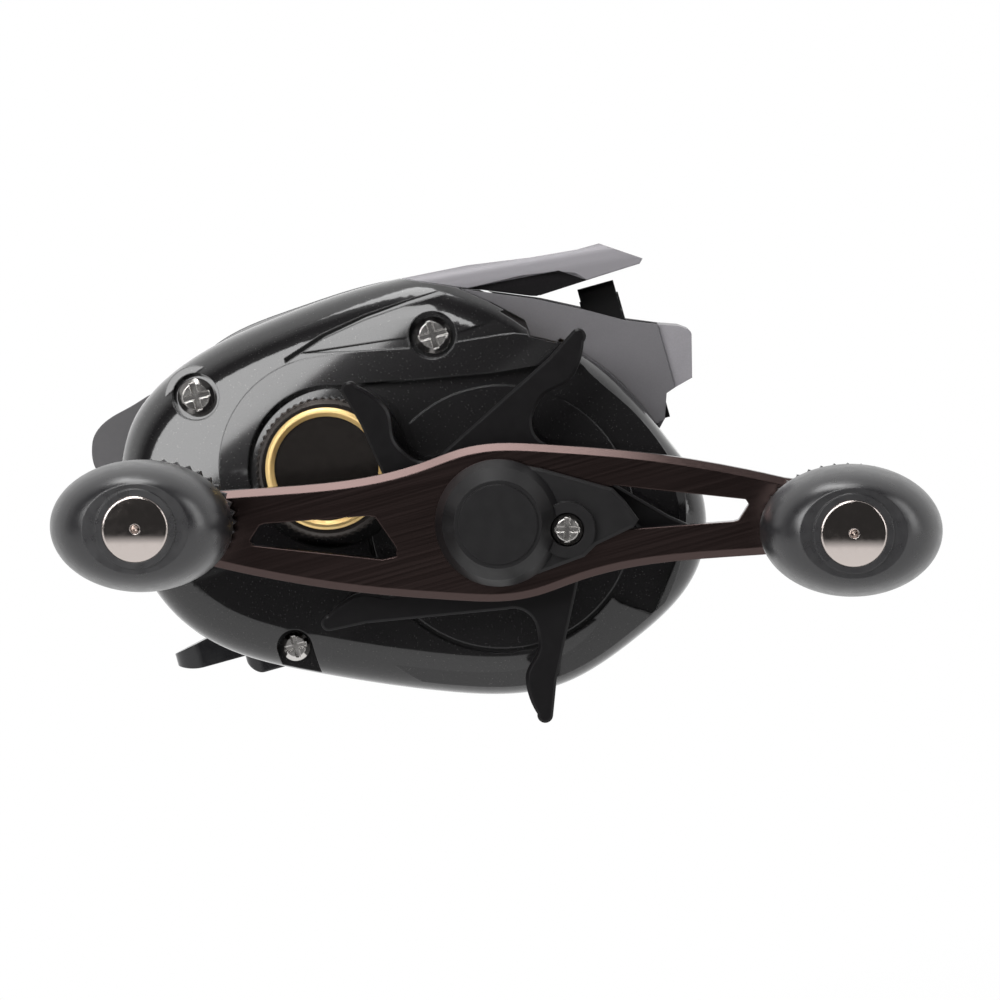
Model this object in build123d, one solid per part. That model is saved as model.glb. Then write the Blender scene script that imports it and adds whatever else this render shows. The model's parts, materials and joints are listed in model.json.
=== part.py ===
from build123d import *
from math import acos, atan2, cos, degrees, hypot, pi, radians, sin
import os

os.makedirs("parts", exist_ok=True)

# Low-profile baitcasting reel, right-hand wind.
# Origin: centre line of the rod under the middle of the reel foot.
# +X runs to the rod tip, +Z is up, the handle side is at -Y. Millimetres.

# ---------------------------------------------------------------- clearances
slip = 0.02          # shaft in a bearing or a bush
slide_gap = 0.05     # sliding fit
part_gap = 0.3       # open gap between pieces that move past each other
spool_gap = 0.5      # air round the spool flanges

# ---------------------------------------------------------------- axes (x, z)
rod_r = 8.0
drive_x = 16.3
drive_z = 16.2
spool_x = -2.7
spool_z = 27.9
worm_x = 34.8
worm_z = 27.6

# ---------------------------------------------------------------- frame
frame_half = 12.2
plate_t = 3.4
ring_t = 3.0
cheek_t = 2.9
bridge_low = 9.8
bridge_top = 13.4
rear_bar_top = 23.0
front_bar_top = 17.5
nose_end = 41.2
hood_bar_t = 2.6

# ---------------------------------------------------------------- reel foot
foot_length = 60.0
foot_width = 13.3
foot_tip_t = 1.5
foot_tip_w = 7.8
foot_ramp = 7.0
foot_corner = 2.0
foot_shoulder = 10.9
foot_screw_x = 15.4
foot_screw_y = 3.6
foot_screw_r = 1.1
foot_head_r = 2.0
foot_head_t = 1.1

# ---------------------------------------------------------------- handle-side cover
cover_wall = 1.6
cover_depth = 13.0
cover_round = 5.0
crown_slope = 2.4
ridge_r = 13.7
ridge_drive_r = 22.8
well_r = 10.1
well_deep = 1.4
moat_deep = 0.9
wedge_deep = 0.7
dial_r = 16.3
dial_raise = 0.5
dial_groove = 0.6
boss_r = 6.6
boss_root = 1.0
turret_r = 8.4
screw_r = 1.1
screw_head_r = 2.3
screw_head_t = 1.3
screw_well_r = 2.95
screw_well_deep = 2.2
post_r = 2.6
low_head_r = 1.8
low_well_r = 2.25

# ---------------------------------------------------------------- palm-side cover
palm_depth = 12.8
palm_wall = 1.6
palm_round = 5.0
brake_dial_r = 7.0
brake_dial_t = 2.4
brake_ribs = 32
brake_rib_deep = 0.4
dial_seat = 0.7
dial_pin_r = 1.2
release_len = 13.0
release_t = 2.0
palm_hub_r = 6.6
palm_peg_r = 1.2

# ---------------------------------------------------------------- hood, nose and thumb bar
hood_over = 2.0
hood_skin = 1.6
hood_taper = 4.1
hood_round = 3.0
hood_side_deep = 0.9
thumb_gap = 0.35
thumb_travel = 5.0
lug_x = -21.6
lug_z = 35.6
lug_w = 2.8
lug_h = 3.4

# ---------------------------------------------------------------- spool
flange_r = 16.3
flange_lap = 0.4
flange_t = 1.1
arbor_r = 10.6
arbor_wall = 1.0
web_y = -7.0
web_t = 1.4
hub_r = 2.8
shaft_r = 1.5
shaft_palm_reach = 4.4
clutch_pin_r = 0.6
clutch_pin_len = 6.2
bearing_w = 2.6
spool_bearing_r = 4.0
brake_hub_r = 4.6
brake_hub_t = 3.4
brake_weight_len = 2.4
brake_pipe_r = 8.6
brake_pipe_wall = 0.8

# ---------------------------------------------------------------- gear train
main_teeth = 72
pinion_teeth = 10
main_face = 3.6
main_web = 1.2
main_cup_r = 16.9
pinion_collar_r = 3.7
pinion_groove_r = 2.5
pinion_bore_gap = 0.08
pinion_journal_r = 2.3
pinion_bearing_r = 4.4
pinion_travel = 1.3
wind_module = 0.5
wind_teeth_a = 24
wind_teeth_b = 22
wind_teeth_c = 20
wind_face = 1.6
idler_pin_r = 1.2
drive_r = 2.75
drive_tail_r = 2.0
drive_bearing_r = 4.5
drive_flange_r = 7.5
drive_flange_t = 0.9
ratchet_r = 9.0
ratchet_teeth = 14
ratchet_t = 1.0
drag_disc_t = 0.9
key_disc_t = 1.1
tube_r = 4.0
roller_r = 7.0
roller_len = 6.4

# ---------------------------------------------------------------- clutch
yoke_t = 1.0
yoke_post_r = 1.0
yoke_post_reach = 8.8
yoke_post_lean = 62
spring_r = 1.75
spring_wire = 0.35
spring_turns = 4
ramp_x = 7.6
ramp_w = 1.6
clutch_plate_t = 0.8
kick_t = 0.9

# ---------------------------------------------------------------- level wind
worm_r = 3.0
worm_stub_r = 1.6
worm_pitch = 4.2
guard_r = 4.0
guard_wall = 0.6
guide_bar_r = 1.25
guide_bar_back = 6.4
carriage_half = 4.2
carriage_travel = 7.6
guide_block_x0 = 32.5
guide_block_x1 = 37.2
guide_top = 40.8
ring_z = 36.3
ring_outer = 2.9
ring_bore = 2.1
pawl_r = 1.1
pawl_cap_r = 2.0

# ---------------------------------------------------------------- cast control
cast_r = 8.8
cast_ribs = 60
cast_rib_deep = 0.3
cast_face_t = 1.0
gold_r = 7.5
gold_bore = 6.4
gold_t = 0.7

# ---------------------------------------------------------------- star drag
star_tip = 23.0
star_lead = 10.9
star_turn = 242.1
star_edge = 0.3
star_arm_t = 3.0
star_hub_r = 8.0
star_hub_len = 6.2
star_gap = 0.7        # between the star and the turret behind it
nut_flats = 9.0
nut_t = 2.6
spring_disc_r = 5.2
spring_disc_t = 1.2

# ---------------------------------------------------------------- handle
handle_tilt = -15.85
knob_radius = 42.0
arm_t = 3.8
arm_rise = 2.0        # the arm's back face in front of the star
arm_edge = 0.9
window_round = 0.2
arm_boss_r = 4.6
handle_nut_flats = 8.0
handle_nut_t = 3.4
retainer_r = 7.7
retainer_top_r = 4.8
retainer_h = 5.8
retainer_wall = 0.9
retainer_screw_x = 8.3
retainer_screw_z = -0.7
retainer_screw_r = 1.0
retainer_head_r = 1.9
knob_half_x = 10.75
knob_half_z = 7.8
knob_len = 23.0
knob_gap = 1.8
knob_pin_r = 2.0
knob_bush_r = 3.4
knob_bush_len = 2.4
knob_bore_r = 2.6
knob_cap_r = 3.9
knob_cap_t = 1.6
knob_head_room = 3.2
knob_rib_x = 10.4
knob_rib_z = 7.6
knob_ribs = 40
knob_rib_deep = 0.6

# ---------------------------------------------------------------- derived levels along Y
plate_out = -(frame_half + plate_t)
ring_out = frame_half + ring_t
palm_face = ring_out + palm_depth
flange_out = frame_half + flange_lap
shaft_palm_end = ring_out + shaft_palm_reach
hood_half = frame_half + plate_t + hood_over
hood_tip_half = hood_half - hood_taper
cover_face = plate_out - cover_depth
cover_inside = cover_face + cover_wall
well_floor = cover_face + well_deep
hub_end = web_y + 4.0
pin_y = plate_out - 1.0
collar_start = pin_y + clutch_pin_r
groove_start = collar_start - 1.6
groove_end = groove_start - yoke_t - 2 * slide_gap
teeth_start = groove_end - 0.6
main_start = teeth_start - pinion_travel - part_gap
main_end = main_start - main_face
teeth_end = main_end - 1.4
pinion_bearing_start = teeth_end - pinion_travel - part_gap
pinion_bearing_end = pinion_bearing_start - 1.8
pinion_end = pinion_bearing_end - 0.3
cast_bearing_start = pinion_end - pinion_travel - part_gap
cast_bearing_end = cast_bearing_start - bearing_w
boss_end = cast_bearing_end - 0.2
wind_start = plate_out - part_gap
wind_end = wind_start - wind_face
ratchet_start = main_start + ratchet_t
drive_flange_start = ratchet_start + drive_flange_t
ratchet_end = main_start
cup_floor = main_start - main_web
key_start = cup_floor - drag_disc_t
key_end = key_start - key_disc_t
roller_start = cover_inside + 0.6
roller_end = roller_start - roller_len
turret_end = roller_end - 0.5
tube_end = turret_end - 0.8
spring_end = tube_end - spring_disc_t
nut_end = spring_end - nut_t
star_hub_start = turret_end - star_gap
star_face = star_hub_start - star_hub_len
star_arm_start = star_face + star_arm_t
handle_start = star_face - arm_rise
arm_end = handle_start - arm_t
drive_end = arm_end - handle_nut_t + 0.4
cast_start = cover_face - 0.9
cast_end = boss_end - part_gap - cast_face_t
shaft_handle_end = boss_end - part_gap + 0.1
foot_seat = foot_length / 2 - foot_ramp - 2
gear_centres = hypot(drive_x - spool_x, drive_z - spool_z)
main_module = 2 * gear_centres / (main_teeth + pinion_teeth)
to_pinion = atan2(spool_z - drive_z, spool_x - drive_x)


# ---------------------------------------------------------------- helpers
def along_y(face, far, near):
    """Prism of an (x, z) face from y = far down to y = near."""
    flat = Pos(0, far, 0) * Rot(90, 0, 0) * face
    return extrude(flat, amount=far - near, dir=(0, -1, 0))


def poly(*points):
    return make_face(Polyline(*points, close=True))


def disc(x, z, r):
    return Pos(x, z) * Circle(r)


def rod(x, z, far, near, r):
    return along_y(disc(x, z, r), far, near)


def ring(x, z, far, near, r_out, r_in):
    return along_y(disc(x, z, r_out) - disc(x, z, r_in), far, near)


def turned(x, z, *profile):
    """Body of revolution about the Y-parallel axis at (x, z) from (r, y) points."""
    return Pos(x, 0, z) * revolve(poly(*profile), Axis.Y, 360)


def box(x0, x1, y0, y1, z0, z1):
    return Pos((x0 + x1) / 2, (y0 + y1) / 2, (z0 + z1) / 2) * Box(x1 - x0, y1 - y0, z1 - z0)


def rounded_lid(face, far, near, r):
    """Lid along Y whose face at y = near is rolled over all round."""
    lid = along_y(face, max(far, near), min(far, near))
    rim = lid.faces().sort_by(Axis.Y)[0 if near < far else -1].edges()
    return fillet(rim, r)


def cross_screw(x, z, seat, tip, r, head_r, head_t):
    """Cross-head screw along Y; its head stands outward (-Y) from seat."""
    screw = rod(x, z, tip, seat, r)
    head = turned(x, z, (0, seat), (head_r, seat), (head_r, seat - 0.6 * head_t),
                  (0.7 * head_r, seat - head_t), (0, seat - head_t))
    long_slot = 0.75 * head_r
    narrow = 0.16 * head_r
    deep = 0.6 * head_t
    top = seat - head_t
    slot_a = box(x - long_slot, x + long_slot, top - 1, top + deep, z - narrow, z + narrow)
    slot_b = box(x - narrow, x + narrow, top - 1, top + deep, z - long_slot, z + long_slot)
    return screw + head - slot_a - slot_b


def gear_face(teeth, module, phase):
    """Spur gear with straight-sided teeth."""
    pitch = teeth * module / 2
    step = 2 * pi / teeth
    rows = ((pitch - 1.2 * module, 0.32), (pitch + 0.8 * module, 0.11))
    points = []
    for i in range(teeth):
        mid = phase + i * step
        for r, half in rows:
            points.append((r * cos(mid - half * step), r * sin(mid - half * step)))
        for r, half in reversed(rows):
            points.append((r * cos(mid + half * step), r * sin(mid + half * step)))
    return poly(*points)


def ribbed_face(half_x, half_z, deep, ribs):
    """Round or oval face with shallow V-shaped flutes."""
    points = []
    for i in range(2 * ribs):
        turn = pi * i / ribs
        cut = deep * (i % 2)
        points.append(((half_x - cut) * cos(turn), (half_z - cut) * sin(turn)))
    return poly(*points)


def mate_phase(phase, teeth, mate_teeth, direction):
    """Phase that puts the mate's gaps on the teeth of the driving gear."""
    return direction + pi - (phase - direction) * teeth / mate_teeth - pi / mate_teeth


def save(shape, name):
    export_step(shape, "parts/" + name + ".step")


# ---------------------------------------------------------------- outlines
cover_rim = [
    (11.7, 48.1), (-4.5, 47.5), (-16.7, 45.1), (-24.8, 40.2), (-29.3, 29), (-27.9, 18.3), (-22.4, 10.2),
    (-11.7, 3.6), (3.5, -3.1), (17.2, -6.1), (27.7, -3.2), (37.2, 2.6), (40.9, 11), (38.8, 19.3),
    (34.4, 28.9), (28.6, 36.0), (23.0, 42.4), (18.6, 45.8)]
cover_seam = [
    (11.7, 50), (11.7, 48.1), (18.3, 45.1), (21.8, 42.2), (25.3, 38.9), (25.5, 36.8), (28.4, 35.2),
    (32, 37), (32, 50)]
frame_rim = [
    (-24.6, 37), (-20, 41.4), (-14, 43.8), (-4, 45.4), (11.5, 46.2), (18.4, 44.6), (27.3, 41.0),
    (32.6, 38.2), (37.2, 35.5), (nose_end, 33.9), (nose_end, 25.7), (40.0, 25.3), (38.9, 22.2), (36.8, 20),
    (38.6, 11), (35.8, 3.6), (27.4, -1.8), (17.2, -4.0), (4.2, -1.0), (-10.8, 5.7), (-21.3, 11.6),
    (-26.3, 18.8), (-27.4, 29)]
palm_rim = [
    (12, 48.1), (-4, 48.4), (-13.9, 47.1), (-21.8, 42.9), (-27.3, 36), (-28.8, 27), (-26.6, 17.6),
    (-20, 10.8), (-8, 8.4), (8, 8.2), (22, 9.2), (32, 13), (36.7, 19), (37.4, 25), (34.6, 31), (29, 36.8),
    (22, 42.6)]
thumb_rim = [
    (-21.2, 42.2), (-25.2, 41.9), (-28.8, 41.0), (-31.9, 38.5), (-31.6, 34.0), (-27.6, 33.0), (-22.4, 34.6)]
hood_top = [(11.7, 48.1), (20, 47.5), (28, 46.3), (33.9, 45.7), (36.8, 45.7), (41.6, 42.4)]
hood_rest = [(9, 40), (9, 46.3), (12.4, 46.0), (18.35, 44.55), (20.4, 43.5), (28, 41.25), (28, 40)]
hood_low = [(41.1, 41.9), (34.8, 41.7), (27.3, 41.4), (18.4, 45.1)]
hood_side = [(18.1, 44.7), (26.2, 44.4), (30.8, 43.7), (32.9, 42.9), (34.8, 41.0), (27.0, 40.5)]
nose_rim = [(nose_end, 33.9), (43.7, 33.0), (45.1, 32.0), (43.6, 26.3), (nose_end, 25.7)]


def moved_points(points, spans, grow):
    """Points of a smooth outline pushed out by grow along its normals."""
    edge = smooth_outline(points, spans).faces()[0].outer_wire()
    middle = edge.center()
    count = 8 * spans if spans > 2 else 2 * len(points)
    moved = []
    for i in range(count):
        at = edge.position_at(i / count)
        along = edge.tangent_at(i / count)
        out = Vector(along.Y, -along.X)
        if out.dot(at - middle) < 0:
            out = -out
        moved.append((at.X + grow * out.X, at.Y + grow * out.Y))
    return moved


def smooth_outline(points, spans, grow=0):
    """Closed outline of splines that run into each other without a corner."""
    if grow:
        points = moved_points(points, spans, grow)
    count = len(points)
    joints = [k * count // spans for k in range(spans + 1)]
    headings = []
    for i in joints:
        before = points[i % count - 1]
        after = points[(i + 1) % count]
        headings.append((after[0] - before[0], after[1] - before[1]))
    loop = points + points[:1]
    edges = []
    for k in range(spans):
        edges.append(Spline(*loop[joints[k]:joints[k + 1] + 1], tangents=headings[k:k + 2]))
    return make_face(Curve() + edges)


def cover_outline(grow=0):
    return smooth_outline(cover_rim, 3, grow)


def palm_outline(grow=0):
    return smooth_outline(palm_rim, 2, grow)


# ---------------------------------------------------------------- frame group
def rod_cylinder():
    return Rot(0, 90, 0) * Cylinder(rod_r, 3 * foot_length)


def build_foot():
    half = foot_length / 2
    side = [(-half, rod_r - 4), (half, rod_r - 4), (half, rod_r + foot_tip_t),
            (foot_seat + 2, foot_shoulder), (foot_seat, foot_shoulder), (foot_seat, bridge_low),
            (-foot_seat, bridge_low), (-foot_seat, foot_shoulder), (-foot_seat - 2, foot_shoulder),
            (-half, rod_r + foot_tip_t)]
    slab = along_y(poly(*side), foot_width / 2, -foot_width / 2)
    plan = RectangleRounded(foot_length, foot_tip_w, 0.45 * foot_tip_w)
    plan += RectangleRounded(2 * foot_seat, foot_width, foot_corner)
    plan = extrude(plan, amount=20)
    foot = (slab & plan) - rod_cylinder()
    for sx in (-1, 1):
        for sy in (-1, 1):
            hole = Pos(sx * foot_screw_x, sy * foot_screw_y, bridge_low) * Cylinder(foot_screw_r, 3.4)
            foot -= hole
    return foot


def build_foot_screws():
    screws = []
    for sx in (-1, 1):
        for sy in (-1, 1):
            at = Pos(sx * foot_screw_x, sy * foot_screw_y, 0)
            low = bridge_low - 1.7
            shank = at * Pos(0, 0, (low + bridge_top) / 2) * Cylinder(foot_screw_r, bridge_top - low)
            head = at * Pos(0, 0, bridge_top + foot_head_t / 2) * Cylinder(foot_head_r, foot_head_t)
            slot = at * Pos(0, 0, bridge_top + foot_head_t) * Box(3 * foot_head_r, 0.5, 0.8)
            screws.append(shank + head - slot)
    return Compound(children=screws)


def cheek_face():
    points = [(18.4, 44.9), (27.3, 41.1), (32.6, 38.3), (37.2, 35.6), (nose_end, 33.9), (nose_end, 25.7),
              (40.0, 25.3), (38.9, 22.2), (36, 21.6), (24, 31), (20, 40)]
    return poly(*points)


def build_frame():
    side = poly(*frame_rim)
    plate = along_y(side, -frame_half, plate_out)
    ring_side = along_y(side, ring_out, frame_half)
    ring_side -= box(-60, 60, 0, 60, -30, bridge_low - 1.0)
    frame = plate + ring_side
    frame += box(-foot_seat, foot_seat, -frame_half, frame_half, bridge_low, bridge_top)
    frame += along_y(poly((-25.6, 18), (-21.6, 12), (-20, 12), (-20, 17), (-22.4, 20), (-22.4, rear_bar_top),
                          (-26.4, rear_bar_top)), frame_half, -frame_half)
    frame += along_y(poly((14, bridge_low), (foot_seat, bridge_low), (foot_seat, foot_shoulder + 0.1),
                          (30, 12.2), (36, 16), (37, 19), (34, 19.4), (24, front_bar_top),
                          (18, bridge_top), (14, bridge_top)), frame_half, -frame_half)
    frame += along_y(poly((12.4, 45.9), (18.2, 44.4), (20.4, 43.4), (20.4, 43.4 - hood_bar_t),
                          (15.4, 44.6 - hood_bar_t), (12.4, 44.8 - 0.6)), frame_half, -frame_half)
    cheek = along_y(cheek_face(), plate_out, plate_out - cheek_t)
    frame += cheek - along_y(cover_outline() - poly(*cover_seam), plate_out + 1, plate_out - cheek_t - 1)
    palm_cheek = along_y(cheek_face(), ring_out + cheek_t, ring_out)
    frame += palm_cheek - along_y(palm_outline(part_gap), ring_out + cheek_t + 1, ring_out - 1)
    frame -= rod(spool_x, spool_z, ring_out + 1, -frame_half - 1.7, flange_r + spool_gap)
    frame -= rod(spool_x, spool_z, 0, plate_out - 1, pinion_collar_r + 1.2)
    frame -= rod(drive_x, drive_z, plate_out + 2.4, plate_out - 1, drive_bearing_r)
    frame -= rod(drive_x, drive_z, plate_out + 2.6, plate_out - 1, drive_tail_r + part_gap)
    for x, z in cover_screw_spots():
        frame -= rod(x, z, plate_out + 2.6, plate_out - 1, screw_r)
    frame -= rod(worm_x, worm_z, ring_out + 1, plate_out - 1, worm_stub_r + slip)
    frame -= rod(worm_x - guide_bar_back, worm_z, frame_half + 1.2, plate_out + 1.6, guide_bar_r)
    idler_x, idler_z = idler_axis()
    frame += rod(idler_x, idler_z, plate_out + 1, wind_end - 0.1, idler_pin_r)
    frame -= worm_gear_room()
    for x, z in post_spots():
        frame -= rod(x, z, plate_out + 1.3, plate_out - 1, yoke_post_r)
    slot_low = lug_z - lug_h / 2 - thumb_travel - part_gap
    slot_high = lug_z + lug_h / 2 + part_gap
    frame -= box(lug_x - lug_w / 2 - part_gap, lug_x + lug_w / 2 + part_gap,
                 plate_out - 1, ring_out + 1, slot_low, slot_high)
    foot_pocket = box(-foot_seat, foot_seat, -foot_width / 2, foot_width / 2, 0, bridge_low)
    frame -= foot_pocket
    for x, z in palm_pegs():
        frame -= rod(x, z, ring_out + 1, frame_half - 1, palm_peg_r + slide_gap)
    for sx in (-1, 1):
        for sy in (-1, 1):
            frame -= Pos(sx * foot_screw_x, sy * foot_screw_y, bridge_low) * Cylinder(foot_screw_r, 12)
    return frame


def cover_screw_spots():
    return ((-16.4, 40.7), (14.0, 40.2), (-12.9, 7.4))


def worm_gear_room():
    tip_r = wind_module * (wind_teeth_c / 2 + 1)
    return rod(worm_x, worm_z, plate_out, wind_end - part_gap, tip_r + part_gap)


def idler_axis():
    reach_a = wind_module * (wind_teeth_a + wind_teeth_b) / 2
    reach_b = wind_module * (wind_teeth_b + wind_teeth_c) / 2
    base = hypot(worm_x - drive_x, worm_z - drive_z)
    lean = acos((reach_a ** 2 + base ** 2 - reach_b ** 2) / (2 * reach_a * base))
    heading = atan2(worm_z - drive_z, worm_x - drive_x) - lean
    return (drive_x + reach_a * cos(heading), drive_z + reach_a * sin(heading))


# ---------------------------------------------------------------- handle-side cover
def tangent_span(xa, za, ra, xb, zb, rb):
    """Upper outer tangent points of two circles."""
    heading = atan2(zb - za, xb - xa)
    lift = heading + acos((ra - rb) / hypot(xb - xa, zb - za))
    return ((xa + ra * cos(lift), za + ra * sin(lift)), (xb + rb * cos(lift), zb + rb * sin(lift)))


def keyhole_face(r_spool, r_drive):
    near, far = tangent_span(spool_x, spool_z, r_spool, drive_x, drive_z, r_drive)
    bridge = poly((spool_x, spool_z), near, far, (drive_x, drive_z))
    return disc(spool_x, spool_z, r_spool) + disc(drive_x, drive_z, r_drive) + bridge


def crown_limit():
    """Half-space under a gently tilted plane that lets the ridge fade out below."""
    slab = Pos(0, 50, 0) * Box(200, 100, 200)
    return Pos(4, cover_face, 12) * Rot(0, 29, 0) * Rot(crown_slope, 0, 0) * slab


def moat_face():
    rim = [
        (-3, 38.0), (4, 36.8), (12, 35.2), (20, 33.7), (26, 33.0), (30.8, 31.8), (34.2, 28.2),
        (36.9, 23.5), (38.0, 18), (37.7, 11.5), (35.6, 5.2), (31.2, -0.6), (27.5, 2.0),
        (drive_x, drive_z), (8.3, 22), (spool_x, spool_z)]
    return poly(*rim) - disc(drive_x, drive_z, dial_r)


def build_cover():
    outline = cover_outline()
    cover = rounded_lid(outline, plate_out, cover_face, cover_round)
    key = along_y(keyhole_face(ridge_r, ridge_drive_r) & cover_outline(-1.2), plate_out - 4, cover_face - 4)
    cover += key & crown_limit()
    dial = along_y(disc(drive_x, drive_z, dial_r), plate_out - 4, cover_face - dial_raise)
    cover -= along_y(disc(drive_x, drive_z, dial_r + dial_groove) - disc(drive_x, drive_z, dial_r),
                     cover_face + dial_groove, cover_face - 6)
    cover -= along_y(disc(drive_x, drive_z, dial_r), cover_face - dial_raise, cover_face - 6)
    cover -= along_y(moat_face(), cover_face + moat_deep, cover_face - 6)
    cover += dial
    cover -= box(-20, 8.3, cover_face - 6, cover_face + moat_deep, 22.2, 31.9) & along_y(
        keyhole_face(well_r, ridge_drive_r), cover_face + moat_deep, cover_face - 6)
    cover -= rod(spool_x, spool_z, well_floor, cover_face - 6, well_r)
    cover -= along_y(cover_outline(-cover_wall), plate_out, cover_face + cover_round)
    cover -= along_y(cover_outline(-cover_wall - 2.2), plate_out, cover_inside)
    cover -= along_y(poly(*cover_seam), plate_out + 1, cover_face - 6)
    # bosses
    cover += rod(spool_x, spool_z, cover_inside + boss_root, well_floor, well_r + 0.8)
    cover += rod(spool_x, spool_z, cover_inside + boss_root, boss_end, boss_r)
    cover += rod(drive_x, drive_z, cover_inside + 0.6, turret_end, turret_r)
    for x, z in cover_screw_spots()[:2]:
        cover += rod(x, z, plate_out, cover_face + screw_well_deep, post_r)
        cover += rod(x, z, cover_face + screw_well_deep + 1.2, cover_face + 1.2, screw_well_r + 0.9)
        cover -= rod(x, z, cover_face + screw_well_deep, cover_face - 6, screw_well_r)
        cover -= rod(x, z, plate_out, cover_face - 6, screw_r)
    x, z = cover_screw_spots()[2]
    cover += rod(x, z, plate_out, cover_face + 3.4, post_r)
    cover -= rod(x, z, cover_face + 3.4, cover_face - 6, low_well_r)
    cover -= box(x - low_well_r, x + low_well_r, cover_face - 6, cover_face + 3.4, z - 12, z)
    cover -= rod(x, z, plate_out, cover_face - 6, screw_r)
    # decorative creases of the top shoulder
    rear_wedge = poly((-3.5, 42.6), (10.9, 40.8), (10.9, 39.4), (3, 41.1))
    front_wedge = poly((16.6, 39.8), (22.6, 40.0), (24.3, 39.4), (24.6, 37.6), (22, 38.0), (16.6, 38.6))
    for wedge in (rear_wedge, front_wedge):
        cover -= along_y(wedge, cover_face + wedge_deep, cover_face - 6)
    crease = Polyline((-4.5, 42.0), (-1, 43.3), (4, 44.3), (10, 44.9), (17.6, 45.0))
    cover -= along_y(make_face(trace_band(crease, 0.3)), cover_face + 1.2, cover_face - 6)
    # bores
    cover -= worm_gear_room()
    gear_tip = main_module * (main_teeth / 2 + 1)
    cover -= rod(drive_x, drive_z, plate_out, main_end - part_gap, gear_tip + part_gap)
    cover -= rod(spool_x, spool_z, 0, pinion_bearing_end, pinion_bearing_r)
    cover -= rod(spool_x, spool_z, 0, pinion_bearing_start - 0.1, main_module * pinion_teeth / 2 + 0.9)
    cover -= rod(spool_x, spool_z, 0, boss_end - 1, pinion_journal_r + part_gap)
    cover -= rod(spool_x, spool_z, cast_bearing_start, boss_end - 1, spool_bearing_r)
    cover -= rod(drive_x, drive_z, 0, roller_end, roller_r)
    cover -= rod(drive_x, drive_z, 0, turret_end - 1, tube_r + 0.8)
    return cover


def trace_band(path, half):
    points = [path @ t for t in (0, 0.25, 0.5, 0.75, 1)]
    up = [(p.X, p.Y + half) for p in points]
    low = [(p.X, p.Y - half) for p in reversed(points)]
    return Polyline(*(up + low), close=True)


def build_cover_screws():
    screws = []
    seats = (cover_face + screw_well_deep, cover_face + screw_well_deep, cover_face + 3.4)
    heads = (screw_head_r, screw_head_r, low_head_r)
    for (x, z), seat, head in zip(cover_screw_spots(), seats, heads):
        screws.append(cross_screw(x, z, seat, plate_out + 2.4, screw_r, head, screw_head_t))
    return Compound(children=screws)


# ---------------------------------------------------------------- hood, nose, thumb bar
def hood_shell(inset):
    """Tapering tunnel with rolled shoulders that trims the hood."""
    back = Plane.YZ.offset(11) * Pos(0, 33.7) * RectangleRounded(2 * (hood_half - inset), 30, hood_round)
    front = Plane.YZ.offset(42) * Pos(0, 30.6) * RectangleRounded(2 * (hood_tip_half - inset), 30, hood_round)
    return loft([back.faces()[0], front.faces()[0]])


def build_hood():
    profile = poly(*(hood_top + hood_low))
    hood = along_y(profile, hood_half, -hood_half)
    hood = hood & hood_shell(0)
    inside = [(x, z - hood_skin) for x, z in hood_top[:4]] + [(36.2, 43.6), (34.8, 40), (11, 40), (11, 46.5)]
    hollow = along_y(poly(*inside), hood_half - 2.0, -hood_half + 2.0)
    hood -= hollow & hood_shell(2.0)
    hood -= along_y(poly(*hood_side), hood_half, -hood_half) - hood_shell(hood_side_deep)
    hood -= along_y(poly(*hood_rest), hood_half, -hood_half)
    for y in (-9.0, 9.0):
        post = Pos(16.0, y, 46.2) * Cylinder(1.9, 2.6)
        hood += post - along_y(poly(*hood_rest), hood_half, -hood_half)
    return hood


def build_front_cover():
    nose = along_y(poly(*nose_rim), hood_half, -hood_half)
    tip = nose.edges().filter_by(Axis.Y).sort_by(Axis.X)[-2:]
    nose = fillet(tip, 0.8)
    scoop = along_y(poly((nose_end - 1, 32.0), (43.0, 31.5), (42.8, 27.7), (nose_end - 1, 27.4)),
                    frame_half - 0.4, -frame_half + 0.4)
    return nose - scoop


def build_thumb_bar():
    half = frame_half - thumb_gap
    bar = along_y(smooth_outline(thumb_rim, 2), half, -half)
    bar -= rod(spool_x, spool_z + thumb_travel, half + 1, -half - 1, flange_r + spool_gap)
    far = ring_out - 0.6
    near = plate_out - 1.0
    bar += box(lug_x - lug_w / 2, lug_x + lug_w / 2, near, far, lug_z - lug_h / 2, lug_z + lug_h / 2)
    for y in range(-9, 10, 2):
        bar -= box(-31.2, -23.5, y - 0.25, y + 0.25, 41.5, 43.5) & Pos(0, y, 0) * along_y(
            poly((-31.2, 39.9), (-28.6, 41.3), (-25, 42.0), (-23.5, 42.1), (-23.5, 44), (-31.2, 44)), 1, -1)
    return bar


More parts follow.
